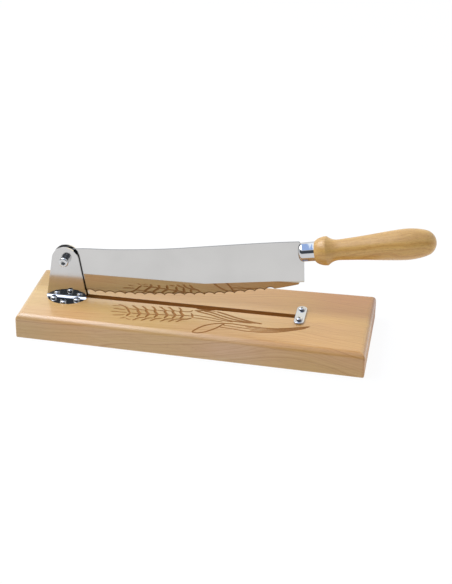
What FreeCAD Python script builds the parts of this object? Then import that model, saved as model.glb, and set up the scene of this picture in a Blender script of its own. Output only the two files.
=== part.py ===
import FreeCAD, Part
import os
import math

# Bread guillotine slicer: a hardwood board with a routed cutting slot, two
# polished L brackets, and a serrated blade that pivots between them.
# Millimetres. +Z up, X along the board, Y across it, front of the board at -Y.
# Origin: middle of the board's flat underside, on the slot's centre plane.

V = FreeCAD.Vector
os.makedirs("parts", exist_ok=True)

# ------------------------------------------------------------ dimensions
# board
BOARD_L = 380.0          # length along X
BOARD_W_PIVOT = 115.6    # depth at the pivot end
BOARD_W_GRIP = 136.8     # depth at the handle end
BOARD_H = 28.0           # thickness
BOARD_R_TOP = 6.8        # rounding of the top edges
BOARD_R_CORNER = 1.8     # rounding of the upright corners
BOARD_R_FOOT = 1.2       # rounding of the bottom edges

# cutting slot routed in the board
SLOT_W = 8.2
SLOT_Y = 0.6             # middle of the slot, a little behind the blade
SLOT_X0 = -166.0         # ends of the slot, round cutter included
SLOT_X1 = 112.0
SLOT_DEPTH = 12.0
SLOT_BREAK = 0.25        # broken edge at the mouth

# pivot
PIVOT_X = -147.0
PIVOT_Z = 72.6
SHANK_R = 3.0
BUSH_R_IN = 3.05
BUSH_R_OUT = 4.5

# brackets
PLATE_T = 1.8            # sheet thickness
PLATE_GAP = 5.8          # clear distance between the two uprights at the pivot
DOME_Z = 72.0            # centre of the upright's round top
DOME_R = 15.1
FOOT_HALF_W = 22.3       # half width at the bend
FOOT_DX = 0.6            # middle of the foot, from the pivot
FOOT_FRONT = 23.6        # front of the foot, from the slot's centre plane
FOOT_SINK = 2.0          # the feet are let in just below the board's top
BEND_R_IN = 2.4          # inside radius of the bend
LEAN_DEG = 1.2           # the uprights sweep out a little below this height
LEAN_Z = 66.0
BRACKET_SCREW_DX = 13.0
BRACKET_SCREW_OUT = 11.6 # outer pair, from the slot's centre plane
BRACKET_SCREW_MID = 19.3 # middle screw

# blade
BLADE_T = 2.0
BEVEL_DEG = 3.85         # grind on each side
TOOTH_SAG = 2.4          # depth of the scallops

# handle axis: a point on it and its rise towards the handle's end
AXIS_X = 113.88
AXIS_Z = 106.34
AXIS_DEG = 10.5
TANG_END = 96.0
TANG_W0 = 12.0
TANG_W1 = 7.0

# ferrule
FERRULE_S0 = -5.5
FERRULE_S1 = 12.2
FERRULE_R = 10.2
FERRULE_R1 = 10.45        # at the handle's end
FERRULE_RIM = 4.6
FERRULE_BORE = 8.5
FERRULE_WALL_END = 2.4

# stop plate at the handle end of the slot
STOP_X = 113.1
STOP_Y = 2.0             # its middle, behind the blade's plane
STOP_L = 39.6            # along Y
STOP_W = 11.0            # along X
STOP_T = 2.0
STOP_SCREW_DY = 11.6

# wood screws
SCREW_R = 1.75
SCREW_HOLE_R = 1.95
SCREW_LEN = 15.0

EPS_AXIAL = 0.05         # running gap each side of the blade


# ------------------------------------------------------------ helpers
def export(shape, node):
    shape.exportStep("parts/%s.step" % node)


def one_solid(shape):
    shape = shape.removeSplitter()
    if shape.ShapeType != "Solid" and len(shape.Solids) == 1:
        shape = shape.Solids[0]
    return shape


def cyl_y(r, y0, y1, x, z):
    return Part.makeCylinder(r, y1 - y0, V(x, y0, z), V(0, 1, 0))


def ring_y(r_out, r_in, y0, y1, x=PIVOT_X, z=PIVOT_Z):
    return cyl_y(r_out, y0, y1, x, z).cut(cyl_y(r_in, y0 - 1, y1 + 1, x, z))


def revolve_points(pts, base, axis, up):
    # closed outline of (distance along axis, radius) points
    vs = [base + axis * a + up * r for a, r in pts]
    face = Part.Face(Part.makePolygon(vs + [vs[0]]))
    return face.revolve(base, axis, 360)


def hexagon(af, centre, axis, length, turn=0.0):
    r = af / math.sqrt(3.0)
    axis = V(axis).normalize()
    u = axis.cross(V(1, 0, 0)) if abs(axis.x) < 0.9 else axis.cross(V(0, 1, 0))
    u.normalize()
    w = axis.cross(u)
    pts = []
    for i in range(6):
        a = math.radians(60 * i + turn)
        pts.append(centre + u * (r * math.cos(a)) + w * (r * math.sin(a)))
    return Part.Face(Part.makePolygon(pts + [pts[0]])).extrude(axis * length)


# ------------------------------------------------------------ board
def board_prism():
    h = BOARD_L / 2.0
    a = BOARD_W_PIVOT / 2.0
    b = BOARD_W_GRIP / 2.0
    pts = [V(-h, -a, 0), V(h, -b, 0), V(h, b, 0), V(-h, a, 0)]
    return Part.Face(Part.makePolygon(pts + [pts[0]])).extrude(V(0, 0, BOARD_H))


board = board_prism()
top = [e for e in board.Edges
       if min(v.Point.z for v in e.Vertexes) > BOARD_H - 0.01]
board = board.makeFillet(BOARD_R_TOP, top)


def at_corner(e):
    # upright corners and the mitred curves above them
    p, q = e.BoundBox.Center, BOARD_L / 2.0
    return e.BoundBox.ZLength > 2.0 and abs(p.x) > q - BOARD_R_TOP and abs(p.y) > BOARD_W_PIVOT / 2.0 - BOARD_R_TOP


board = board.makeFillet(BOARD_R_CORNER, [e for e in board.Edges if at_corner(e)])
low = [e for e in board.Edges
       if max(v.Point.z for v in e.Vertexes) < 0.01 and e.BoundBox.ZMax < 0.01]
board = board.makeFillet(BOARD_R_FOOT, low)


def slot_wire(half, z):
    x0 = SLOT_X0 + SLOT_W / 2.0
    x1 = SLOT_X1 - SLOT_W / 2.0
    ya, yb = SLOT_Y - half, SLOT_Y + half
    p = [V(x0, ya, z), V(x1, ya, z), V(x1, yb, z), V(x0, yb, z)]
    e = [Part.LineSegment(p[0], p[1]).toShape(),
         Part.Arc(p[1], V(x1 + half, SLOT_Y, z), p[2]).toShape(),
         Part.LineSegment(p[2], p[3]).toShape(),
         Part.Arc(p[3], V(x0 - half, SLOT_Y, z), p[0]).toShape()]
    return Part.Wire(e)


slot = Part.Face(slot_wire(SLOT_W / 2.0, BOARD_H - SLOT_DEPTH)).extrude(
    V(0, 0, SLOT_DEPTH + 1))
mouth = Part.makeLoft([slot_wire(SLOT_W / 2.0, BOARD_H - SLOT_BREAK),
                       slot_wire(SLOT_W / 2.0 + SLOT_BREAK, BOARD_H)], True, True)
board = board.cut(slot).cut(mouth)


# ------------------------------------------------------------ wood screws
def wood_screw(x, y, z_seat, head_r=3.8, head_h=2.6, turn=0.0):
    # pan head with a cross recess, plain shank and a pointed tip
    base = V(x, y, z_seat)
    dome = []
    for i in range(9):
        t = math.radians(90.0 * i / 8.0)
        dome.append((head_h - 1.7 + 1.7 * math.sin(t),
                     head_r - 2.0 + 2.0 * math.cos(t)))
    pts = [(-SCREW_LEN, 0.0), (-SCREW_LEN + 3.5, SCREW_R), (0.0, SCREW_R),
           (0.0, head_r)] + dome + [(head_h, 0.0)]
    body = revolve_points(pts, base, V(0, 0, 1), V(1, 0, 0))
    for k in (0, 1):
        bar = Part.makeBox(3.6, 0.8, 1.3, V(-1.8, -0.4, 0))
        bar.rotate(V(0, 0, 0), V(0, 0, 1), turn + 90 * k)
        bar.translate(V(x, y, z_seat + head_h - 1.3))
        body = body.cut(bar)
    return body


# ------------------------------------------------------------ brackets
Y_IN = PLATE_GAP / 2.0
Y_OUT = Y_IN + PLATE_T
Z_FOOT = BOARD_H - FOOT_SINK       # underside of the feet
PLATE_TOP = Z_FOOT + PLATE_T
FOOT_X = PIVOT_X + FOOT_DX

# side view of the sheet's middle line: straight at the pivot, a long sweep
# forwards below it, then the bend
LEAN = math.radians(LEAN_DEG)
BEND_R = BEND_R_IN + PLATE_T / 2.0
BEND_Z = Z_FOOT + PLATE_T / 2.0 + BEND_R                # centre of the bend
SWEEP_R = (LEAN_Z - BEND_Z + BEND_R * math.sin(LEAN)) / math.sin(LEAN)
Y_MID = Y_IN + PLATE_T / 2.0
BEND_Y = Y_MID + SWEEP_R * (1 - math.cos(LEAN)) + BEND_R * math.cos(LEAN)


def sheet_line(off):
    # front face at off = +PLATE_T / 2, rear face at -PLATE_T / 2
    def sweep(t):
        r = SWEEP_R - off
        return V(0, -Y_MID - SWEEP_R + r * math.cos(t), LEAN_Z - r * math.sin(t))

    def bend(t):
        r = BEND_R - off
        return V(0, -BEND_Y + r * math.cos(t), BEND_Z - r * math.sin(t))
    q = math.pi / 2.0
    mid = (LEAN + q) / 2.0
    top = V(0, -Y_MID - off, DOME_Z + DOME_R + 5.0)
    end = V(0, -FOOT_FRONT - 5.0, Z_FOOT + PLATE_T / 2.0 + off)
    edges = [Part.LineSegment(top, sweep(0.0)).toShape(),
             Part.Arc(sweep(0.0), sweep(LEAN / 2.0), sweep(LEAN)).toShape(),
             Part.Arc(bend(LEAN), bend(mid), bend(q)).toShape(),
             Part.LineSegment(bend(q), end).toShape()]
    return edges, top, end


def upright_outline(y):
    # sides lean in and run tangent into the round top
    z0 = PLATE_TOP
    low, high = [], []
    for s in (1, -1):
        lean = math.radians(10.0)
        for _ in range(30):
            tx = DOME_R * math.cos(lean)
            tz = DOME_Z + DOME_R * math.sin(lean)
            lean = math.atan((FOOT_HALF_W + s * FOOT_DX - tx) / (tz - PLATE_TOP))
        low.append(V(FOOT_X + s * FOOT_HALF_W, y, z0))
        high.append(V(PIVOT_X + s * tx, y, tz))
    b, a = low
    c, d = high
    e = [Part.LineSegment(a, b).toShape(),
         Part.LineSegment(b, c).toShape(),
         Part.Arc(c, V(PIVOT_X, y, DOME_Z + DOME_R), d).toShape(),
         Part.LineSegment(d, a).toShape()]
    return Part.Face(Part.Wire(e))


def foot_outline(z, grow=0.0, back=0.0):
    k = FOOT_HALF_W + grow
    a = V(FOOT_X - k, -BEND_Y, z)
    b = V(FOOT_X + k, -BEND_Y, z)
    arc = Part.Arc(a, V(FOOT_X, -FOOT_FRONT - grow, z), b).toShape()
    if not back:
        return Part.Face(Part.Wire([arc, Part.LineSegment(b, a).toShape()]))
    c, d = V(b.x, -back, z), V(a.x, -back, z)
    return Part.Face(Part.Wire([arc, Part.LineSegment(b, c).toShape(),
                                Part.LineSegment(c, d).toShape(), Part.LineSegment(d, a).toShape()]))


def bracket():
    # front bracket; the rear one is its mirror image
    front, top_f, end_f = sheet_line(PLATE_T / 2.0)
    rear, top_r, end_r = sheet_line(-PLATE_T / 2.0)
    wire = Part.Wire(Part.__sortEdges__(front + rear + [
        Part.LineSegment(top_f, top_r).toShape(), Part.LineSegment(end_f, end_r).toShape()]))
    face = Part.Face(wire)
    face.translate(V(FOOT_X - FOOT_HALF_W - 2.0, 0, 0))
    sheet = face.extrude(V(2 * FOOT_HALF_W + 4.0, 0, 0))
    upright = upright_outline(-BEND_Y).extrude(V(0, BEND_Y + 5.0, 0))
    bend = Part.makeBox(2 * FOOT_HALF_W, BEND_Y, PLATE_T + 2.0,
                        V(FOOT_X - FOOT_HALF_W, -BEND_Y, Z_FOOT - 2.0))
    foot = foot_outline(Z_FOOT - 1.0).extrude(V(0, 0, PLATE_T + 2.0))
    body = one_solid(sheet.common(upright.fuse(bend).fuse(foot)))
    if body.ShapeType != "Solid":
        body = sorted(body.Solids, key=lambda q: -q.Volume)[0]
    # pivot hole and screw holes
    body = body.cut(cyl_y(SHANK_R + 0.1, -Y_OUT - 1, -Y_IN + 1, PIVOT_X, PIVOT_Z))
    for sx, sy in bracket_screw_places():
        body = body.cut(Part.makeCylinder(SCREW_HOLE_R, 20, V(sx, sy, BOARD_H - 8)))
    return body


def bracket_screw_places():
    return [(FOOT_X - BRACKET_SCREW_DX, -BRACKET_SCREW_OUT),
            (FOOT_X, -BRACKET_SCREW_MID),
            (FOOT_X + BRACKET_SCREW_DX, -BRACKET_SCREW_OUT)]


front_bracket = bracket()
rear_bracket = front_bracket.mirror(V(0, 0, 0), V(0, 1, 0))

# shallow pockets for the feet, open to the slot under the bends
pocket = foot_outline(Z_FOOT, 0.15, 3.0).extrude(V(0, 0, FOOT_SINK + 1.0))
board = board.cut(pocket).cut(pocket.mirror(V(0, 0, 0), V(0, 1, 0)))

front_screws = [wood_screw(x, y, PLATE_TOP, turn=t)
                for (x, y), t in zip(bracket_screw_places(), (20, 52, 75))]
rear_screws = [wood_screw(x, -y, PLATE_TOP, turn=t)
               for (x, y), t in zip(bracket_screw_places(), (10, 40, 66))]

# ------------------------------------------------------------ stop plate
def stadium(x, half_l, half_w, z, height):
    c = half_l - half_w
    p = [V(x - half_w, -c, z), V(x + half_w, -c, z), V(x + half_w, c, z), V(x - half_w, c, z)]
    e = [Part.Arc(p[0], V(x, -half_l, z), p[1]).toShape(),
         Part.LineSegment(p[1], p[2]).toShape(),
         Part.Arc(p[2], V(x, half_l, z), p[3]).toShape(),
         Part.LineSegment(p[3], p[0]).toShape()]
    return Part.Face(Part.Wire(e)).extrude(V(0, 0, height))


stop_plate = stadium(STOP_X, STOP_L / 2.0, STOP_W / 2.0, BOARD_H, STOP_T)
rim = [e for e in stop_plate.Edges if e.BoundBox.ZMin > BOARD_H + STOP_T - 0.01]
stop_plate = stop_plate.makeFillet(0.6, rim)
stop_plate.translate(V(0, STOP_Y, 0))
for s in (-1, 1):
    stop_plate = stop_plate.cut(Part.makeCylinder(
        SCREW_HOLE_R, 20, V(STOP_X, STOP_Y + s * STOP_SCREW_DY, BOARD_H - 5)))
stop_screws = [wood_screw(STOP_X, STOP_Y + s * STOP_SCREW_DY, BOARD_H + STOP_T, turn=t)
               for s, t in ((-1, 30), (1, 65))]

for s in front_screws + rear_screws + stop_screws:
    board = board.cut(s)
board = one_solid(board)

# ------------------------------------------------------------ pivot stack
# from the front: socket screw head, washer, bracket, spacer, blade with its
# bush, spacer, bracket, washer, lock nut
Y_WASHER = Y_OUT + 1.2
HEAD_R = 5.5
HEAD_ROUND = 1.7
HEAD_H = 7.2
base = V(PIVOT_X, -Y_WASHER, PIVOT_Z)
out = V(0, -1, 0)
NUT_H = 6.4
tail = 2 * Y_WASHER + NUT_H + 1.6
head_pts = [(-tail, 0.0), (-tail, SHANK_R - 0.6), (-tail + 0.6, SHANK_R), (0.0, SHANK_R),
            (0.0, HEAD_R), (HEAD_H - HEAD_ROUND, HEAD_R)]
for i in range(1, 7):
    t = math.radians(15.0 * i)
    head_pts.append((HEAD_H - HEAD_ROUND + HEAD_ROUND * math.sin(t),
                     HEAD_R - HEAD_ROUND + HEAD_ROUND * math.cos(t)))
head_pts.append((HEAD_H, 0.0))
pivot_bolt = revolve_points(head_pts, base, out, V(1, 0, 0))
pivot_bolt = pivot_bolt.cut(hexagon(5.0, base + out * (HEAD_H - 3.2), out, 4.0, 10.0))

front_washer = ring_y(6.2, SHANK_R + 0.2, -Y_WASHER, -Y_OUT)
rear_washer = ring_y(6.2, SHANK_R + 0.2, Y_OUT, Y_WASHER)
Y_BLADE = BLADE_T / 2.0
front_spacer = ring_y(7.0, SHANK_R + 0.05, -Y_IN, -Y_BLADE - EPS_AXIAL)
rear_spacer = ring_y(7.0, SHANK_R + 0.05, Y_BLADE + EPS_AXIAL, Y_IN)
pivot_bush = ring_y(BUSH_R_OUT, BUSH_R_IN, -Y_BLADE, Y_BLADE)

# lock nut: hexagon with a turned-in collar that holds a plastic ring
nut_hex = hexagon(10.0, V(PIVOT_X, Y_WASHER, PIVOT_Z), V(0, 1, 0), 4.4, 0.0)
cone = Part.makeCone(6.6, 4.7, 3.2, V(PIVOT_X, Y_WASHER + 2.6, PIVOT_Z), V(0, 1, 0))
nut_hex = nut_hex.common(cyl_y(6.6, Y_WASHER, Y_WASHER + 2.6, PIVOT_X, PIVOT_Z).fuse(cone))
collar = cyl_y(4.6, Y_WASHER + 4.0, Y_WASHER + NUT_H, PIVOT_X, PIVOT_Z)
lock_nut = one_solid(nut_hex.fuse(collar))
lock_nut = lock_nut.cut(cyl_y(SHANK_R, Y_WASHER - 1, Y_WASHER + 4.2, PIVOT_X, PIVOT_Z))
lock_nut = lock_nut.cut(cyl_y(3.9, Y_WASHER + 4.2, Y_WASHER + NUT_H - 0.5, PIVOT_X, PIVOT_Z))
lock_nut = lock_nut.cut(cyl_y(3.5, Y_WASHER + 4.0, Y_WASHER + NUT_H + 1, PIVOT_X, PIVOT_Z))
nut_ring = ring_y(3.9, SHANK_R, Y_WASHER + 4.2, Y_WASHER + NUT_H - 0.5)

# ------------------------------------------------------------ blade
ang = math.radians(AXIS_DEG)
AX = V(math.cos(ang), 0, math.sin(ang))
AN = V(-math.sin(ang), 0, math.cos(ang))
A0 = V(AXIS_X, 0, AXIS_Z)
YB = -BLADE_T / 2.0


def at(x, z, y=YB):
    return V(x, y, z)


def on_axis(s, r=0.0, y=YB):
    p = A0 + AX * s + AN * r
    return V(p.x, y, p.z)


END_R = 11.2                      # round end about the pivot
spine = [(PIVOT_X, PIVOT_Z + END_R), (-132.8, 85.3), (-105.9, 87.2), (-79.1, 89.5), (-52.4, 92.5),
         (-26.0, 96.2), (0.3, 100.6), (26.3, 105.0), (52.2, 109.4), (77.8, 113.5),
         (103.3, 117.1), (108.2, 117.7)]
tips = [(-137.6, 35.6), (-126.4, 34.6), (-115.1, 34.2), (-103.8, 34.2), (-92.7, 34.6),
        (-81.4, 35.1), (-70.2, 35.8), (-59.2, 36.6), (-48.1, 37.5), (-37.0, 38.6),
        (-25.9, 39.8), (-14.8, 41.1), (-3.7, 42.5), (7.4, 44.0), (18.4, 45.6),
        (29.4, 47.3), (40.5, 49.4), (51.6, 51.8), (62.6, 54.2), (73.5, 56.8),
        (84.3, 59.6)]
heel = [(97.6, 63.6), (109.7, 67.6)]
step = [(110.4, 68.6), (111.1, 70.5)]
corner = (115.7, 71.05)

edges = []
sp = Part.BSplineCurve()
sp.interpolate(Points=[at(*q) for q in spine],
               InitialTangent=V(1, 0, 0.0), FinalTangent=V(1, 0, 0.13))
edges.append(sp.toShape())
tang_w0 = TANG_W0 / 2.0
tang_w1 = TANG_W1 / 2.0
right_top = (114.35, 99.0)
chain = [at(*spine[-1]), at(111.2, 114.2), on_axis(0.6, tang_w0), on_axis(TANG_END - 3, tang_w1),
         on_axis(TANG_END, tang_w1 - 2.0), on_axis(TANG_END, -tang_w1 + 2.0),
         on_axis(TANG_END - 3, -tang_w1), on_axis(0.6, -tang_w0), at(*right_top), at(*corner),
         at(*step[1])]
for p, q in zip(chain[:-1], chain[1:]):
    edges.append(Part.LineSegment(p, q).toShape())
# concave step from the heel to the cutting edge
edges.append(Part.Arc(at(*step[1]), at(110.35, 69.05), at(*heel[-1])).toShape())
edges.append(Part.Arc(at(*heel[-1]), at(96.4, 63.2), at(*tips[-1])).toShape())
for i in range(len(tips) - 1, 0, -1):
    (xa, za), (xb, zb) = tips[i], tips[i - 1]
    dx, dz = xb - xa, zb - za
    ln = math.hypot(dx, dz)
    mx, mz = (xa + xb) / 2.0, (za + zb) / 2.0
    # the hollow lies on the blade's side of the chord
    nx, nz = dz / ln, -dx / ln
    edges.append(Part.Arc(at(xa, za), at(mx + nx * TOOTH_SAG, mz + nz * TOOTH_SAG),
                          at(xb, zb)).toShape())
tail_pts = [tips[0], (-146.5, 40.6)]
a_left = math.radians(197.0)
left = (PIVOT_X + END_R * math.cos(a_left), PIVOT_Z + END_R * math.sin(a_left))
a_mid = math.radians(140.0)
edges.append(Part.LineSegment(at(*tail_pts[0]), at(*tail_pts[1])).toShape())
edges.append(Part.LineSegment(at(*tail_pts[1]), at(*left)).toShape())
edges.append(Part.Arc(at(*left), at(PIVOT_X + END_R * math.cos(a_mid),
                                    PIVOT_Z + END_R * math.sin(a_mid)), at(*spine[0])).toShape())
outline = Part.Wire(Part.__sortEdges__(edges))
blade = Part.Face(outline).extrude(V(0, BLADE_T, 0))
blade = blade.cut(cyl_y(BUSH_R_OUT, -3, 3, PIVOT_X, PIVOT_Z))

# straight grind line on both faces, blending towards the edge
GX0, GX1 = -145.0, 118.0
def grind_z(x):
    return 61.0 + 0.143 * (x - 30.0)
g0 = V(GX0, 0, grind_z(GX0))
g1 = V(GX1, 0, grind_z(GX1))
gd = (g1 - g0).normalize()
gn = V(gd.z, 0, -gd.x)            # towards the cutting edge
for s in (-1, 1):
    a = g0 + V(0, s * BLADE_T / 2.0, 0)
    b = a + gn * 26.0
    c = b - V(0, s * 26.0 * math.tan(math.radians(BEVEL_DEG)), 0)
    a2 = a + V(0, s * 1.0, 0) + gn * 0.0
    b2 = b + V(0, s * 1.0, 0)
    wedge = Part.Face(Part.makePolygon([a, c, b2, a2, a])).extrude(g1 - g0)
    blade = blade.cut(wedge)
if blade.ShapeType != "Solid" and len(blade.Solids) == 1:
    blade = blade.Solids[0]

# ------------------------------------------------------------ ferrule
UP = AN
pts = []
for i in range(9):
    t = math.radians(90.0 * i / 8.0)
    pts.append((FERRULE_S0 + FERRULE_RIM - FERRULE_RIM * math.cos(t),
                FERRULE_R - FERRULE_RIM + FERRULE_RIM * math.sin(t)))


def rev_curve(segments, base=A0, axis=AX, up=UP):
    # segments: list of point lists (s, r); 2 points give a line, 3 marked "arc",
    # more a spline through them
    es = []
    for seg in segments:
        kind, q = seg[0], [base + axis * a + up * r for a, r in seg[1]]
        if kind == "line":
            es.append(Part.LineSegment(q[0], q[1]).toShape())
        elif kind == "arc":
            es.append(Part.Arc(q[0], q[1], q[2]).toShape())
        else:
            c = Part.BSplineCurve()
            if len(seg) > 2:
                t0, t1 = [axis * a + up * r for a, r in seg[2]]
                c.interpolate(Points=q, InitialTangent=t0, FinalTangent=t1)
            else:
                c.interpolate(q)
            es.append(c.toShape())
    return Part.Face(Part.Wire(es)).revolve(base, axis, 360)


rs = math.sin(math.radians(45)) * FERRULE_RIM
cS = FERRULE_S0 + FERRULE_RIM
cR = FERRULE_R - FERRULE_RIM
inner0 = FERRULE_S0 + FERRULE_WALL_END
ferrule = rev_curve([
    ("line", [(FERRULE_S0, 0.0), (FERRULE_S0, cR)]),
    ("arc", [(FERRULE_S0, cR), (cS - rs, cR + rs), (cS, FERRULE_R)]),
    ("line", [(cS, FERRULE_R), (FERRULE_S1, FERRULE_R1)]),
    ("line", [(FERRULE_S1, FERRULE_R1), (FERRULE_S1, FERRULE_BORE)]),
    ("line", [(FERRULE_S1, FERRULE_BORE), (inner0, FERRULE_BORE)]),
    ("line", [(inner0, FERRULE_BORE), (inner0, 0.0)]),
    ("line", [(inner0, 0.0), (FERRULE_S0, 0.0)]),
])
ferrule = ferrule.cut(blade)
big = sorted(ferrule.Solids, key=lambda q: -q.Volume)
ferrule = big[0]

# ------------------------------------------------------------ handle
# turned grip on its own axis, which meets the ferrule's near the thick end and
# runs a little under it at the bead
SPIGOT_S0 = 2.2
GRIP_DEG = 10.85
GRIP_S = 112.0
gang = math.radians(GRIP_DEG)
GX = V(math.cos(gang), 0, math.sin(gang))
G0 = A0 + AX * GRIP_S - GX * GRIP_S
GRIP_S0 = FERRULE_S1 + 0.05
spigot = rev_curve([
    ("line", [(SPIGOT_S0, 0.0), (SPIGOT_S0, FERRULE_BORE)]),
    ("line", [(SPIGOT_S0, FERRULE_BORE), (FERRULE_S1 + 2.0, FERRULE_BORE)]),
    ("line", [(FERRULE_S1 + 2.0, FERRULE_BORE), (FERRULE_S1 + 2.0, 0.0)]),
    ("line", [(FERRULE_S1 + 2.0, 0.0), (SPIGOT_S0, 0.0)]),
], up=V(0, -1, 0))
grip = rev_curve([
    ("line", [(GRIP_S0, 0.0), (GRIP_S0, 11.0)]),
    ("spline", [(GRIP_S0, 11.0), (14.3, 12.75), (16.6, 13.95), (19.3, 14.85),
                (22.3, 15.4), (24.9, 15.55)]),
    ("line", [(24.9, 15.55), (25.6, 15.2)]),
    ("spline", [(25.6, 15.2), (26.9, 14.2), (28.6, 13.1), (31.0, 11.95), (33.9, 11.2),
                (37.0, 11.0), (42.2, 11.25), (54.4, 12.05), (67.5, 13.1), (79.2, 14.25),
                (92.9, 15.5), (100.0, 16.05), (107.0, 16.4), (112.5, 16.35), (117.5, 15.95),
                (123.0, 15.1), (127.9, 13.95), (130.6, 13.1), (132.9, 12.05)]),
    ("arc", [(132.9, 12.05), (138.55, 5.7), (139.8, 0.8)]),
    ("line", [(139.8, 0.8), (139.8, 0.0)]),
    ("line", [(139.8, 0.0), (GRIP_S0, 0.0)]),
], base=G0, axis=GX, up=V(0, -1, 0))
handle = one_solid(grip.fuse(spigot))
handle = handle.cut(blade)
handle = handle.cut(ferrule)
handle = sorted(handle.Solids, key=lambda q: -q.Volume)[0]

# ------------------------------------------------------------ export
nodes = {
    "base_board": board,
    "front_bracket": front_bracket,
    "rear_bracket": rear_bracket,
    "front_bracket_screws": Part.makeCompound(front_screws),
    "rear_bracket_screws": Part.makeCompound(rear_screws),
    "stop_plate": stop_plate,
    "stop_plate_screws": Part.makeCompound(stop_screws),
    "pivot_bolt": pivot_bolt,
    "front_washer": front_washer,
    "rear_washer": rear_washer,
    "front_spacer": front_spacer,
    "rear_spacer": rear_spacer,
    "lock_nut": lock_nut,
    "nut_lock_ring": nut_ring,
    "pivot_bush": pivot_bush,
    "blade": blade,
    "ferrule": ferrule,
    "handle": handle,
}
for name in sorted(nodes):
    shape = nodes[name]
    bb = shape.BoundBox
    print("%-22s solids %d valid %s vol %.1f  x %.1f..%.1f y %.1f..%.1f z %.1f..%.1f" % (
        name, len(shape.Solids), shape.isValid(), shape.Volume,
        bb.XMin, bb.XMax, bb.YMin, bb.YMax, bb.ZMin, bb.ZMax))
    export(shape, name)
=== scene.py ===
import bpy
import bmesh
import math
from mathutils import Matrix, Vector


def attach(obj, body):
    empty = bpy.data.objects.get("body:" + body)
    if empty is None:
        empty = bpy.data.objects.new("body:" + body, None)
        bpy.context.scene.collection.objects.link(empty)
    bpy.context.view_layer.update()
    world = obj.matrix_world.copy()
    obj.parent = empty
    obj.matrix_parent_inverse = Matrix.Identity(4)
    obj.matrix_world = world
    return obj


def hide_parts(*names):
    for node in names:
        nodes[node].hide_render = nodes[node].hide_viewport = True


# Looks of the bread guillotine slicer: materials, the carved ear of wheat on
# the board, the studio and the camera. Metres, in the frame of the CAD model.

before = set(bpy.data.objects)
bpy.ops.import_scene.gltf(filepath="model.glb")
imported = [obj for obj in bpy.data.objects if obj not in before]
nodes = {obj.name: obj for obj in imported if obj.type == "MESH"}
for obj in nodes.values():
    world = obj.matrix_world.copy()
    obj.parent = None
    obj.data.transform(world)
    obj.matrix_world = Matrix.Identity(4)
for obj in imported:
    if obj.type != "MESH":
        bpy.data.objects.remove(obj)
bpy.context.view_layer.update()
scene = bpy.context.scene
MM = 0.001


def srgb(r, g, b, a=1.0):
    def f(c):
        c = c / 255.0
        return c / 12.92 if c <= 0.04045 else ((c + 0.055) / 1.055) ** 2.4
    return (f(r), f(g), f(b), a)


# ------------------------------------------------------------ node helpers
class Net:
    """Short names for building a node tree."""

    def __init__(self, tree):
        self.t = tree
        self.n = tree.nodes
        self.l = tree.links

    def put(self, socket, value):
        if value is None:
            return
        if isinstance(value, bpy.types.NodeSocket):
            self.l.new(value, socket)
        else:
            socket.default_value = value

    def math(self, op, a, b=None, c=None, clamp=False):
        m = self.n.new("ShaderNodeMath")
        m.operation = op
        m.use_clamp = clamp
        for s, v in zip(m.inputs, (a, b, c)):
            self.put(s, v)
        return m.outputs[0]

    def vmul(self, v, s):
        m = self.n.new("ShaderNodeVectorMath")
        m.operation = "MULTIPLY"
        self.put(m.inputs[0], v)
        self.put(m.inputs[1], s)
        return m.outputs[0]

    def vadd(self, v, s):
        m = self.n.new("ShaderNodeVectorMath")
        m.operation = "ADD"
        self.put(m.inputs[0], v)
        self.put(m.inputs[1], s)
        return m.outputs[0]

    def split(self, v):
        m = self.n.new("ShaderNodeSeparateXYZ")
        self.put(m.inputs[0], v)
        return m.outputs[0], m.outputs[1], m.outputs[2]

    def join(self, x, y, z):
        m = self.n.new("ShaderNodeCombineXYZ")
        for s, v in zip(m.inputs, (x, y, z)):
            self.put(s, v)
        return m.outputs[0]

    def noise(self, vec, scale=1.0, detail=2.0, rough=0.5, dist=0.0, dim="3D", w=None):
        m = self.n.new("ShaderNodeTexNoise")
        m.noise_dimensions = dim
        if dim != "1D":
            self.put(m.inputs["Vector"], vec)
        if w is not None:
            self.put(m.inputs["W"], w)
        self.put(m.inputs["Scale"], scale)
        self.put(m.inputs["Detail"], detail)
        self.put(m.inputs["Roughness"], rough)
        self.put(m.inputs["Distortion"], dist)
        return m.outputs["Fac"]

    def ramp(self, fac, stops, mode="LINEAR"):
        m = self.n.new("ShaderNodeValToRGB")
        m.color_ramp.interpolation = mode
        e = m.color_ramp.elements
        while len(e) > 1:
            e.remove(e[-1])
        e[0].position, e[0].color = stops[0]
        for p, c in stops[1:]:
            k = e.new(p)
            k.color = c
        self.put(m.inputs["Fac"], fac)
        return m.outputs["Color"]

    def span(self, v, a, b, c=0.0, d=1.0, smooth=True):
        m = self.n.new("ShaderNodeMapRange")
        m.interpolation_type = "SMOOTHSTEP" if smooth else "LINEAR"
        m.clamp = True
        for s, x in zip(m.inputs, (v, a, b, c, d)):
            self.put(s, x)
        return m.outputs[0]

    def mix(self, fac, a, b, blend="MIX"):
        m = self.n.new("ShaderNodeMix")
        m.data_type = "RGBA"
        m.blend_type = blend
        m.clamp_factor = True
        self.put(m.inputs["Factor"], fac)
        ins = [s for s in m.inputs if s.type == "RGBA"]
        self.put(ins[0], a)
        self.put(ins[1], b)
        return [s for s in m.outputs if s.type == "RGBA"][0]

    def bump(self, height, strength, distance, normal=None):
        m = self.n.new("ShaderNodeBump")
        self.put(m.inputs["Strength"], strength)
        self.put(m.inputs["Distance"], distance)
        self.put(m.inputs["Height"], height)
        if normal is not None:
            self.put(m.inputs["Normal"], normal)
        return m.outputs["Normal"]


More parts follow.
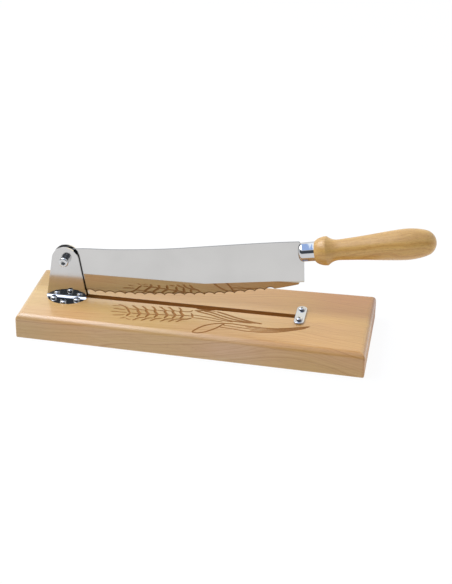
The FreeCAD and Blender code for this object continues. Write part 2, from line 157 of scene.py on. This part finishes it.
def material(name):
    m = bpy.data.materials.new(name)
    m.use_nodes = True
    net = Net(m.node_tree)
    bsdf = next(n for n in net.n if n.type == "BSDF_PRINCIPLED")
    obj = net.n.new("ShaderNodeTexCoord").outputs["Object"]
    mm = net.vmul(obj, (1000.0, 1000.0, 1000.0))
    return m, net, bsdf, mm


# ------------------------------------------------------------ wood
def board_wood(name, burn=False, coat=1.0):
    m, net, b, mm = material(name)
    x, y, z = net.split(mm)
    # growth layers: tilted sheets with an arch near the handle end
    arch = net.math("MULTIPLY", net.math("SUBTRACT", x, 104.0), 1 / 98.0)
    arch = net.math("DIVIDE", 44.0, net.math("ADD", 1.0, net.math("MULTIPLY", arch, arch)))
    warp = net.noise(net.vmul(mm, (0.006, 0.020, 0.028)), 1.0, 2.0, 0.5)
    warp = net.math("MULTIPLY", net.math("SUBTRACT", warp, 0.5), 26.0)
    f = net.math("ADD", net.math("MULTIPLY", y, 1.25), z)
    f = net.math("SUBTRACT", f, arch)
    f = net.math("ADD", f, warp)
    rings = net.noise(None, 0.34, 3.0, 0.62, 0.0, "1D", f)
    late = net.span(rings, 0.50, 0.78)
    # broad bands of yellow and pink
    broad = net.noise(net.vmul(mm, (0.006, 0.022, 0.028)), 1.0, 1.5, 0.5)
    col = net.mix(net.span(broad, 0.35, 0.68), srgb(204, 160, 91), srgb(206, 156, 97))
    # layers
    col = net.mix(net.math("MULTIPLY", late, 0.62), col, srgb(178, 124, 60))
    pale = net.span(rings, 0.46, 0.26)
    col = net.mix(net.math("MULTIPLY", pale, 0.40), col, srgb(216, 174, 116))
    # fibres
    fib = net.noise(net.vmul(mm, (0.035, 1.05, 1.05)), 1.0, 4.0, 0.6)
    col = net.mix(net.span(fib, 0.50, 0.78, 0.0, 0.45), col, srgb(170, 118, 60))
    col = net.mix(net.span(fib, 0.48, 0.24, 0.0, 0.30), col, srgb(220, 180, 124))
    # short ray flecks
    fl = net.noise(net.vmul(mm, (0.22, 1.9, 1.9)), 1.0, 2.0, 0.5)
    col = net.mix(net.span(fl, 0.62, 0.74, 0.0, 0.34), col, srgb(150, 98, 46))
    # darker and redder behind the slot, deepest at the handle end
    rear = net.mix(net.span(x, 100.0, 155.0), (0.73, 0.65, 0.39, 1), (0.69, 0.51, 0.29, 1))
    col = net.mix(net.span(y, -4.0, 24.0), col, net.mix(1.0, col, rear, "MULTIPLY"))
    # brighter and bluer in the middle of the front half
    mid = net.math("MULTIPLY", net.span(x, -135.0, -85.0), net.span(x, 100.0, 45.0))
    col = net.mix(net.math("MULTIPLY", mid, net.span(y, 2.0, -8.0)), col,
                  net.mix(1.0, col, (1.00, 1.05, 1.17, 1), "MULTIPLY"))
    # paler towards the pivot end
    col = net.mix(net.span(x, -120.0, -185.0), col, net.mix(1.0, col, (0.92, 1.01, 1.10, 1), "MULTIPLY"))
    # a shade darker and yellower towards the handle end
    col = net.mix(net.span(x, 25.0, 130.0), col, net.mix(1.0, col, (0.93, 0.85, 0.59, 1), "MULTIPLY"))
    # side faces: greyer than the top, paler and bluer towards the handle end
    side = net.mix(net.span(x, -20.0, 120.0), (0.955, 0.945, 1.10, 1), (0.99, 1.09, 1.62, 1))
    low = net.span(z, 27.2, 21.0)
    col = net.mix(low, col, net.mix(1.0, col, side, "MULTIPLY"))
    # end grain drinks more lacquer and is darker
    col = net.mix(net.span(x, 186.5, 189.5), col, net.mix(1.0, col, (0.88, 0.78, 0.66, 1), "MULTIPLY"))
    # darker and deeper brown inside the slot
    half = net.math("ABSOLUTE", net.math("SUBTRACT", y, 0.6))
    run = net.math("ABSOLUTE", net.math("SUBTRACT", x, -27.0))
    inside = net.math("MULTIPLY", net.span(half, 4.6, 4.3),
                      net.math("MULTIPLY", net.span(run, 139.6, 139.0), net.span(z, 27.95, 27.5)))
    col = net.mix(inside, col, net.mix(1.0, col, (0.80, 0.66, 0.46, 1), "MULTIPLY"))
    if burn:
        col = net.mix(0.88, col, srgb(150, 96, 36))
    net.put(b.inputs["Base Color"], col)
    b.inputs["Specular IOR Level"].default_value = 0.40
    net.put(b.inputs["Roughness"], net.math("ADD", 0.40 if not burn else 0.60,
                                            net.math("MULTIPLY", fib, 0.16)))
    b.inputs["Coat Weight"].default_value = 0.0 if burn else coat
    b.inputs["Coat Roughness"].default_value = 0.21
    h = net.math("ADD", net.math("MULTIPLY", fib, 0.7), net.math("MULTIPLY", fl, 0.3))
    net.put(b.inputs["Normal"], net.bump(h, 0.25, 0.00012))
    return m


def handle_wood(name):
    m, net, b, mm = material(name)
    # turned grip: layers run along the handle's own axis
    a = math.radians(-10.5)
    x, y, z = net.split(mm)
    u = net.math("SUBTRACT", net.math("MULTIPLY", x, math.cos(a)), net.math("MULTIPLY", z, math.sin(a)))
    v = net.math("ADD", net.math("MULTIPLY", x, math.sin(a)), net.math("MULTIPLY", z, math.cos(a)))
    p = net.join(u, y, v)
    warp = net.noise(net.vmul(p, (0.014, 0.05, 0.05)), 1.0, 2.0, 0.5)
    f = net.math("ADD", net.math("MULTIPLY", y, 0.55), v)
    f = net.math("ADD", f, net.math("MULTIPLY", warp, 22.0))
    rings = net.noise(None, 0.30, 3.0, 0.6, 0.0, "1D", f)
    col = net.mix(net.span(rings, 0.30, 0.75), srgb(209, 164, 88), srgb(193, 143, 72))
    fib = net.noise(net.vmul(p, (0.10, 1.1, 1.1)), 1.0, 4.0, 0.62)
    col = net.mix(net.span(fib, 0.50, 0.76, 0.0, 0.5), col, srgb(160, 110, 50))
    col = net.mix(net.span(fib, 0.48, 0.24, 0.0, 0.4), col, srgb(220, 180, 114))
    fl = net.noise(net.vmul(p, (0.42, 2.2, 2.2)), 1.0, 2.0, 0.5)
    col = net.mix(net.span(fl, 0.57, 0.70, 0.0, 0.46), col, srgb(140, 92, 40))
    net.put(b.inputs["Base Color"], col)
    net.put(b.inputs["Roughness"], net.math("ADD", 0.36, net.math("MULTIPLY", fib, 0.10)))
    b.inputs["Coat Weight"].default_value = 0.40
    b.inputs["Coat Roughness"].default_value = 0.20
    net.put(b.inputs["Normal"], net.bump(fib, 0.12, 0.00008))
    return m


# ------------------------------------------------------------ metals
def polished(name, base, rough, grain=(0.05, 1.0, 1.0), amount=0.02, blotch=0.02, darker_rough_edges=0.0,
             satin=None, ground=False):
    m, net, b, mm = material(name)
    n1 = net.noise(net.vmul(mm, grain), 1.0, 4.0, 0.6)
    n2 = net.noise(net.vmul(mm, (0.02, 0.02, 0.02)), 1.0, 2.0, 0.5)
    dark = tuple(c * (1.0 - blotch * 3) for c in base[:3]) + (1.0,)
    col = net.mix(net.span(n2, 0.3, 0.7), base, dark)
    r = net.math("ADD", rough, net.math("MULTIPLY", net.math("SUBTRACT", n1, 0.5), amount))
    if satin:
        # the upper part of the uprights is less finely polished than the feet
        z0, z1, more = satin
        r = net.math("ADD", r, net.span(net.split(mm)[2], z0, z1, 0.0, more))
    if ground:
        # the grind is a little darker than the flat of the blade, as ground steel is; its warm tint, growing towards
        # the handle end, is a painted reflection of the board's wood
        gx, _, gz = net.split(mm)
        line = net.math("ADD", 61.0, net.math("MULTIPLY", net.math("SUBTRACT", gx, 30.0), 0.143))
        ground_tone_and_painted_reflection = net.mix(net.span(gx, -60.0, 80.0), (0.97, 0.95, 0.90, 1), (0.90, 0.84, 0.74, 1))
        col = net.mix(net.span(net.math("SUBTRACT", line, gz), 0.0, 0.8), col,
                      net.mix(1.0, col, ground_tone_and_painted_reflection, "MULTIPLY"))
    if darker_rough_edges:
        # the narrow edges of the sheet are darker and rougher than its faces
        tc = net.n.new("ShaderNodeTexCoord").outputs["Normal"]
        ny = net.math("ABSOLUTE", net.split(tc)[1])
        nz = net.math("ABSOLUTE", net.split(tc)[2])
        edge = net.span(net.math("MAXIMUM", ny, nz) if darker_rough_edges > 1 else ny, 0.93, 0.80)
        col = net.mix(edge, col, (0.30, 0.30, 0.30, 1))
        r = net.math("ADD", r, net.math("MULTIPLY", edge, 0.30))
    net.put(b.inputs["Base Color"], col)
    b.inputs["Metallic"].default_value = 1.0
    net.put(b.inputs["Roughness"], net.math("MAXIMUM", r, 0.01))
    net.put(b.inputs["Normal"], net.bump(n1, 0.03, 0.00002))
    return m


M = {}
M["board"] = board_wood("board_wood_beech")
M["end"] = board_wood("board_wood_end_grain", coat=0.1)
M["burn"] = board_wood("board_wood_carving", burn=True)
M["handle"] = handle_wood("handle_wood_lacquered")
M["blade"] = polished("blade_steel_mirror", (0.585, 0.575, 0.562, 1), 0.040, (0.6, 0.6, 0.03), 0.02,
                      darker_rough_edges=1, ground=True)
M["plate"] = polished("bracket_steel_polished", (0.578, 0.568, 0.560, 1), 0.045, (0.12, 0.12, 0.12), 0.02,
                      satin=(38.0, 48.0, 0.09))
# the stop plate's steel is darker and bluer than the brackets': painted shade and a painted cool cast that cancel the
# warm reflector behind the handle
M["stop"] = polished("stop_plate_steel_painted_shade", (0.52, 0.555, 0.625, 1), 0.06, (0.12, 0.12, 0.12), 0.02)
# the scallop grinds are real ground facets; their dark brown colour is a painted reflection of the board's wood, as
# steel itself is not brown
M["ground"] = polished("scallop_grind_painted_wood_reflection", (0.27, 0.215, 0.165, 1), 0.22, (1.2, 1.2, 1.2), 0.10)
M["chrome"] = polished("ferrule_chrome", (0.60, 0.60, 0.61, 1), 0.015, (0.6, 0.6, 0.6), 0.0)
M["screw"] = polished("screw_steel_plated", (0.62, 0.62, 0.62, 1), 0.13, (1.5, 1.5, 1.5), 0.06)
M["bush"] = polished("bronze_bush", (0.62, 0.40, 0.20, 1), 0.22, (1.0, 1.0, 1.0), 0.10)


def nylon(name):
    m, net, b, mm = material(name)
    n = net.noise(net.vmul(mm, (0.8, 0.8, 0.8)), 1.0, 3.0, 0.5)
    net.put(b.inputs["Base Color"], net.mix(n, srgb(226, 228, 222), srgb(212, 215, 210)))
    b.inputs["Subsurface Weight"].default_value = 0.15
    b.inputs["Subsurface Scale"].default_value = 0.001
    b.inputs["Roughness"].default_value = 0.5
    return m


M["nylon"] = nylon("nylon_ring")

WEARS = {
    "base_board": "board", "handle": "handle", "blade": "blade",
    "front_bracket": "plate", "rear_bracket": "plate", "stop_plate": "stop",
    "ferrule": "chrome", "front_bracket_screws": "screw", "rear_bracket_screws": "screw",
    "stop_plate_screws": "screw", "pivot_bolt": "screw", "front_washer": "screw",
    "rear_washer": "screw", "front_spacer": "screw", "rear_spacer": "screw",
    "lock_nut": "screw", "pivot_bush": "bush", "nut_lock_ring": "nylon",
}
for n, k in WEARS.items():
    slots = nodes[n].material_slots
    if not slots:
        nodes[n].data.materials.append(M[k])
    for s in nodes[n].material_slots:
        s.material = M[k]


# ------------------------------------------------------------ carved board
BOARD_TOP = 28.0


def smooth_path(pts, step=1.0):
    # Catmull-Rom through the points, in millimetres
    q = [Vector(p) for p in pts]
    q = [q[0] * 2 - q[1]] + q + [q[-1] * 2 - q[-2]]
    out = []
    for i in range(1, len(q) - 2):
        a, b, c, d = q[i - 1:i + 3]
        n = max(2, int(math.ceil((c - b).length / step)))
        for k in range(n):
            t = k / n
            out.append(0.5 * ((2 * b) + (c - a) * t + (2 * a - 5 * b + 4 * c - d) * t * t
                              + (3 * b - 3 * c + d - a) * t ** 3))
    out.append(q[-2])
    return out


def ear():
    """Strokes of the ear of wheat: (width, points), X and Y in millimetres."""
    s = []
    xs = [-68.6, -57.2, -48.0, -38.5, -27.6, -19.1, -10.8]
    lead = [-17.6, -14.3, -12.6, -11.2, -14.0, -13.0, -10.0]
    ys = [-28.9, -28.2, -27.3, -26.2, -25.0, -23.8, -22.6]
    for k, (px, py) in enumerate(zip(xs, ys)):
        a = lead[k]
        if k == 0:
            up = [(a, 16.2), (a * 0.72, 15.0), (-7.6, 11.8), (-4.4, 7.2), (-2.2, 2.6), (0, 0)]
            s.append((1.3, [(px + u, py + v) for u, v in up]))
        else:
            up = [(a, 16.3), (a * 0.84, 15.8), (a * 0.60, 12.6), (-5.4, 10.2), (-2.2, 9.0)]
            s.append((1.2, [(px + u, py + v) for u, v in up]))
            s.append((1.6, [(px - 6.2, py + 10.0), (px - 4.8, py + 6.0), (px - 2.6, py + 2.6), (px + 0.4, py - 0.4)]))
        s.append((1.45, [(px, py), (px - 1.6, py - 3.4), (px - 2.9, py - 8.4)]))
        if k:
            s.append((1.25, [(px - 6.0, py - 15.8), (px - 3.6, py - 13.6), (px - 1.1, py - 10.2),
                             (px + 3.0, py - 8.0), (px + 6.6, py - 7.6)]))
    # outlines of the grains along both sides
    for k in range(6):
        a = (xs[k] - 4.6, ys[k] + 9.6)
        b = (xs[k + 1] - 5.6, ys[k + 1] + 8.6)
        s.append((0.9, [a, ((a[0] + b[0]) / 2, (a[1] + b[1]) / 2 - 0.3), b]))
    s.append((0.9, [(-68.9, -37.2), (-65.0, -37.0), (-61.6, -36.6)]))
    s.append((1.15, list(zip(xs, ys)) + [(-1.6, -22.0)]))
    # awns
    s.append((0.75, [(-92.2, -15.6), (-87.8, -15.4), (-83.3, -15.7)]))
    s.append((0.95, [(-89.4, -21.8), (-82.7, -22.4), (-75.1, -22.9)]))
    s.append((0.95, [(-91.0, -29.2), (-84.3, -28.8), (-72.0, -28.6)]))
    s.append((0.95, [(-87.0, -37.2), (-79.5, -35.6), (-73.2, -33.4)]))
    s.append((0.9, [(-77.4, -42.6), (-74.4, -41.0), (-71.6, -38.4)]))
    s.append((0.8, [(-71.4, -40.0), (-68.8, -42.4), (-65.0, -43.2)]))
    # foot of the ear
    s.append((1.2, [(-4.4, -15.6), (-2.1, -19.6), (-0.9, -25.4)]))
    s.append((1.1, [(-13.4, -30.6), (-7.6, -30.2), (-4.0, -28.4), (-0.9, -25.4)]))
    s.append((0.9, [(-14.8, -14.0), (-9.2, -13.4), (-5.8, -12.4), (-3.2, -8.6)]))
    return s


def stems():
    return [
        (1.5, [(22.1, -6.4), (32.8, -10.6), (46.4, -16.3), (58.1, -20.2), (66.1, -22.6), (75.4, -24.2)]),
        (1.35, [(8.6, -8.6), (15.7, -9.4), (22.2, -12.0), (34.4, -17.2), (50.6, -21.9), (69.4, -24.0)]),
        (1.3, [(0.8, -10.4), (7.0, -12.0), (18.2, -15.4), (29.9, -20.6), (42.3, -24.0), (64.2, -25.0)]),
        (0.95, [(-1.6, -19.4), (5.7, -20.0), (17.9, -21.6), (31.6, -24.8), (44.0, -26.4)]),
        (0.95, [(-0.9, -25.0), (11.1, -26.2), (22.9, -27.5), (33.0, -28.4)]),
        (1.5, [(-2.0, -8.8), (4.0, -8.6), (9.0, -5.6), (13.0, -3.2)]),
        (1.3, [(3.0, -8.2), (9.0, -6.8), (15.0, -4.4), (20.0, -3.4)]),
        (0.8, [(10.0, -7.4), (16.0, -6.6), (22.1, -6.4)]),
        # leaf and its stalk
        (1.2, [(4.6, -57.0), (7.4, -50.6), (13.4, -42.0), (21.8, -35.6), (31.2, -31.9), (42.0, -30.4),
               (58.9, -31.6), (74.0, -32.6), (88.0, -32.0), (98.4, -29.6), (109.7, -25.8), (119.0, -22.3),
               (126.4, -19.4)]),
        (1.2, [(4.6, -57.0), (10.6, -57.4), (17.2, -54.2), (24.0, -48.0), (29.6, -41.2), (33.4, -34.6), (36.4, -30.6)]),
        (0.85, [(32.8, -35.0), (47.0, -36.2), (61.6, -37.5), (74.0, -37.9), (86.0, -36.4), (97.0, -33.4),
               (108.0, -29.4), (118.4, -24.8), (125.4, -21.2)]),
        (0.95, [(30.6, -40.0), (44.1, -41.0), (58.0, -42.8), (70.0, -43.0), (83.5, -41.4), (95.0, -38.0),
               (106.0, -33.2), (116.0, -28.0), (122.6, -24.0)]),
        (0.7, [(58.0, -33.6), (70.0, -35.0), (83.0, -34.9), (95.0, -32.2), (108.0, -27.6), (118.0, -23.4)]),
        (0.7, [(64.0, -40.6), (77.0, -40.2), (90.0, -37.6), (103.0, -32.6), (115.0, -26.8)]),
    ]


def groove(bm, width, pts, depth_share=0.28):
    """A closed V-shaped cutter along a stroke, pointed at both ends."""
    path = smooth_path(pts)
    n = len(path)
    total = sum((path[i + 1] - path[i]).length for i in range(n - 1))
    run = 0.0
    rows = []
    for i, p in enumerate(path):
        if i:
            run += (p - path[i - 1]).length
        d = (path[min(i + 1, n - 1)] - path[max(i - 1, 0)]).normalized()
        side = Vector((-d.y, d.x))
        end = min(run, total - run)
        k = min(1.0, 0.25 + 0.75 * end / 2.2)
        w = 0.5 * width * k
        h = width * depth_share * k
        lift = 0.35
        # the section is a V whose flanks keep their slope above the surface
        wide = w * (h + lift) / h
        rows.append([bm.verts.new(Vector((p.x + side.x * wide, p.y + side.y * wide, BOARD_TOP + lift)) * MM),
                     bm.verts.new(Vector((p.x, p.y, BOARD_TOP - h)) * MM),
                     bm.verts.new(Vector((p.x - side.x * wide, p.y - side.y * wide, BOARD_TOP + lift)) * MM)])
    for a, b in zip(rows[:-1], rows[1:]):
        for j in range(3):
            k = (j + 1) % 3
            bm.faces.new((a[j], a[k], b[k], b[j]))
    bm.faces.new((rows[0][2], rows[0][1], rows[0][0]))
    bm.faces.new(rows[-1])


def carved_board():
    src = nodes["base_board"]
    me = src.data.copy()
    me.name = "carved_board"
    bm = bmesh.new()
    bm.from_mesh(me)
    bmesh.ops.remove_doubles(bm, verts=bm.verts, dist=1e-6)
    bmesh.ops.dissolve_limit(bm, angle_limit=math.radians(0.05), verts=bm.verts, edges=bm.edges)
    bm.to_mesh(me)
    bm.free()
    board = bpy.data.objects.new("carved_board", me)
    scene.collection.objects.link(board)
    me.materials.clear()
    me.materials.append(M["board"])
    me.materials.append(M["burn"])
    cm = bpy.data.meshes.new("cutters")
    cb = bmesh.new()
    for w, pts in ear() + stems():
        groove(cb, w * 1.95, pts)
    # a worn nick in the front edge of the slot
    groove(cb, 2.3, [(-1.0, -4.0), (5.0, -4.8), (11.0, -4.5), (17.0, -3.6)], 0.8)
    bmesh.ops.recalc_face_normals(cb, faces=cb.faces)
    cb.to_mesh(cm)
    cb.free()
    cm.materials.append(M["burn"])
    cutter = bpy.data.objects.new("cutters", cm)
    scene.collection.objects.link(cutter)
    mod = board.modifiers.new("carve", "BOOLEAN")
    mod.operation = "DIFFERENCE"
    mod.solver = "EXACT"
    mod.use_self = True
    mod.material_mode = "TRANSFER"
    mod.object = cutter
    bpy.context.view_layer.update()
    dg = bpy.context.evaluated_depsgraph_get()
    done = bpy.data.meshes.new_from_object(board.evaluated_get(dg))
    board.modifiers.clear()
    board.data = done
    bpy.data.objects.remove(cutter)
    # the flat sawn ends take less lacquer
    done.materials.append(M["end"])
    for f in done.polygons:
        if abs(f.normal.x) > 0.98 and abs(f.center.x) > 0.1895:
            f.material_index = len(done.materials) - 1
    # shading: flat faces stay flat, rounded edges stay smooth
    bm = bmesh.new()
    bm.from_mesh(done)
    bmesh.ops.remove_doubles(bm, verts=bm.verts, dist=1e-7)
    for f in bm.faces:
        f.smooth = True
    for e in bm.edges:
        if len(e.link_faces) == 2:
            e.smooth = e.calc_face_angle(0.0) < math.radians(28)
    bm.to_mesh(done)
    bm.free()
    wn = board.modifiers.new("weights", "WEIGHTED_NORMAL")
    wn.keep_sharp = True
    wn.mode = "FACE_AREA"
    board.modifiers["weights"].weight = 50
    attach(board, "base")
    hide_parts("base_board")
    return board


board = carved_board()


# ------------------------------------------------------------ scallop grinds
def scallop_grinds():
    """The narrow ground facet along the scalloped edge, on both faces."""
    tips = [(-137.6, 35.6), (-126.4, 34.6), (-115.1, 34.2), (-103.8, 34.2), (-92.7, 34.6),
            (-81.4, 35.1), (-70.2, 35.8), (-59.2, 36.6), (-48.1, 37.5), (-37.0, 38.6),
            (-25.9, 39.8), (-14.8, 41.1), (-3.7, 42.5), (7.4, 44.0), (18.4, 45.6),
            (29.4, 47.3), (40.5, 49.4), (51.6, 51.8), (62.6, 54.2), (73.5, 56.8),
            (84.3, 59.6)]
    sag, wide = 2.4, 1.25
    tan_b = math.tan(math.radians(3.85))
    g0 = Vector((-145.0, 61.0 + 0.143 * (-145.0 - 30.0)))
    g1 = Vector((118.0, 61.0 + 0.143 * (118.0 - 30.0)))
    gd = (g1 - g0).normalized()
    gn = Vector((gd.y, -gd.x))

    def half(p):
        return 1.0 - max(0.0, (p - g0).dot(gn)) * tan_b

    low, up = [], []
    steps = 10
    for i in range(len(tips) - 1):
        a, b = Vector(tips[i]), Vector(tips[i + 1])
        c = (b - a).length
        t = (b - a) / c
        n = Vector((-t.y, t.x))
        rad = (c * c / 4 + sag * sag) / (2 * sag)
        mid = (a + b) / 2 + n * (sag - rad)
        open_a = math.asin(c / 2 / rad)
        for k in range(steps + 1):
            if i and k == 0:
                continue
            w = -open_a + 2 * open_a * k / steps
            low.append(mid + t * (rad * math.sin(w)) + n * (rad * math.cos(w)))
            up.append(n)
    for side in (-1, 1):
        me = bpy.data.meshes.new("scallop_grind")
        bm = bmesh.new()
        rows = []
        for p, n in zip(low, up):
            q = p + n * wide
            p = p + n * 0.02
            hp, hq = half(p), half(q)
            rows.append([bm.verts.new(Vector((v.x, side * yy, v.y)) * MM) for v, yy in (
                (p, hp + 0.03), (q, hq + 0.02), (q, max(hq - 0.05, 0.0)), (p, max(hp - 0.05, 0.0)))])
        for a, b in zip(rows[:-1], rows[1:]):
            for j in range(4):
                k = (j + 1) % 4
                bm.faces.new((a[j], a[k], b[k], b[j]))
        bm.faces.new(list(reversed(rows[0])))
        bm.faces.new(rows[-1])
        bmesh.ops.recalc_face_normals(bm, faces=bm.faces)
        bm.to_mesh(me)
        bm.free()
        me.materials.append(M["ground"])
        o = bpy.data.objects.new("scallop_grind_front" if side < 0 else "scallop_grind_back", me)
        scene.collection.objects.link(o)
        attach(o, "arm")


scallop_grinds()

# ------------------------------------------------------------ studio
def area(name, loc, target, size, power, colour=(1, 1, 1), size_y=None, spread=180):
    d = bpy.data.lights.new(name, "AREA")
    d.shape = "RECTANGLE"
    d.size = size
    d.size_y = size_y or size
    d.energy = power
    d.color = colour
    d.spread = math.radians(spread)
    o = bpy.data.objects.new(name, d)
    scene.collection.objects.link(o)
    o.location = loc
    o.rotation_mode = "QUATERNION"
    o.rotation_quaternion = (Vector(target) - Vector(loc)).to_track_quat("-Z", "Y")
    return o


def floor():
    bpy.ops.mesh.primitive_plane_add(size=12.0, location=(0, 0, -0.0002))
    o = bpy.context.object
    o.name = "floor"
    m, net, b, mm = material("floor_white")
    n = net.noise(net.vmul(mm, (0.004, 0.004, 0.004)), 1.0, 2.0, 0.5)
    net.put(b.inputs["Base Color"], net.mix(n, (0.075, 0.075, 0.075, 1), (0.07, 0.07, 0.07, 1)))
    b.inputs["Emission Color"].default_value = (1.0, 1.0, 1.0, 1.0)
    b.inputs["Emission Strength"].default_value = 0.925
    b.inputs["Roughness"].default_value = 0.9
    b.inputs["Specular IOR Level"].default_value = 0.1
    o.data.materials.append(m)
    return o


floor()

world = bpy.data.worlds.new("studio")
scene.world = world
world.use_nodes = True
net = Net(world.node_tree)
bg = next(n for n in net.n if n.type == "BACKGROUND")
d = net.n.new("ShaderNodeTexCoord").outputs["Generated"]
dx, dy, dz = net.split(d)
# the room: bright behind the object, a dark side in front above the table,
# and a cooler ceiling
dark = net.math("MULTIPLY", net.span(net.math("MULTIPLY", dy, -1.0), 0.25, 0.5),
                net.math("MULTIPLY", net.span(dz, 0.01, 0.05), net.span(dz, 0.62, 0.51)))
back = net.math("MULTIPLY", net.span(dy, 0.0, 0.25),
                net.math("MULTIPLY", net.span(dz, 0.12, 0.30), net.span(dz, 0.86, 0.72)))
sky = net.mix(net.span(dz, 0.80, 0.93), (0.72, 0.74, 0.76, 1), (0.58, 0.73, 1.08, 1))
sky = net.mix(back, sky, (1.12, 1.13, 1.14, 1))
# a warm reflector standing behind the handle
warm = net.math("ABSOLUTE", net.math("SUBTRACT", dx, 0.16))
warm = net.math("MULTIPLY", net.span(warm, 0.40, 0.20),
                net.math("MULTIPLY", net.span(dy, 0.2, 0.4),
                         net.math("MULTIPLY", net.span(dz, 0.18, 0.30), net.span(dz, 0.66, 0.58))))
sky = net.mix(warm, sky, (1.46, 1.36, 1.12, 1))
# a strip of window light running over the object from behind
strip = net.math("ABSOLUTE", net.math("ADD", dx, 0.26))
strip = net.math("MULTIPLY", net.span(strip, 0.22, 0.14), net.span(dz, 0.60, 0.66))
# one pane's edge crosses the strip aslant, with white beside the blue
run = net.math("ADD", net.math("MULTIPLY", dx, 1471.7), net.math("MULTIPLY", dz, 272.8))
run = net.math("SUBTRACT", run, net.math("MULTIPLY", dy, net.math("ADD", 14.0, net.math("MULTIPLY", dy, 7.5))))
run = net.math("ABSOLUTE", net.math("ADD", run, 308.1))
white = net.math("MULTIPLY", net.span(run, 3.0, 4.8), net.span(run, 26.0, 16.0))
pane = net.mix(white, (0.52, 0.73, 1.22, 1), (1.45, 1.58, 1.68, 1))
sky = net.mix(strip, sky, pane)
net.put(bg.inputs["Color"], net.mix(dark, sky, (0.080, 0.092, 0.112, 1)))
bg.inputs["Strength"].default_value = 1.0

area("softbox_left", (-0.9, 0.05, 1.1), (0, 0, 0.03), 0.9, 7.3, (1.0, 0.955, 0.87))
area("softbox_top", (-0.425, -0.05, 0.80), (-0.425, -0.06, 0.03), 0.40, 4.9, (0.84, 0.89, 1.0), 1.0)

# ------------------------------------------------------------ camera
F, AZ, EL, ROLL = 1456.053, math.radians(9.5964), math.radians(27.5708), math.radians(1.07026)
T = Vector((-0.03137, 0.04104, 1.60607))
fwd = -Vector((math.sin(AZ) * math.cos(EL), -math.cos(AZ) * math.cos(EL), math.sin(EL)))
right = fwd.cross(Vector((0, 0, 1))).normalized()
down = fwd.cross(right)
cr, sr = math.cos(ROLL), math.sin(ROLL)
r2 = right * cr - down * sr
d2 = right * sr + down * cr
rot = Matrix((r2, -d2, -fwd)).transposed()
eye = -(r2 * T.x + d2 * T.y + fwd * T.z)
cam_data = bpy.data.cameras.new("camera")
cam_data.sensor_width = 36.0
cam_data.sensor_fit = "AUTO"
cam_data.lens = F * 36.0 / 584.0
cam_data.clip_start = 0.05
cam_data.clip_end = 50.0
cam = bpy.data.objects.new("camera", cam_data)
scene.collection.objects.link(cam)
cam.matrix_world = Matrix.Translation(eye) @ rot.to_4x4()
scene.camera = cam
scene.view_settings.view_transform = "Standard"
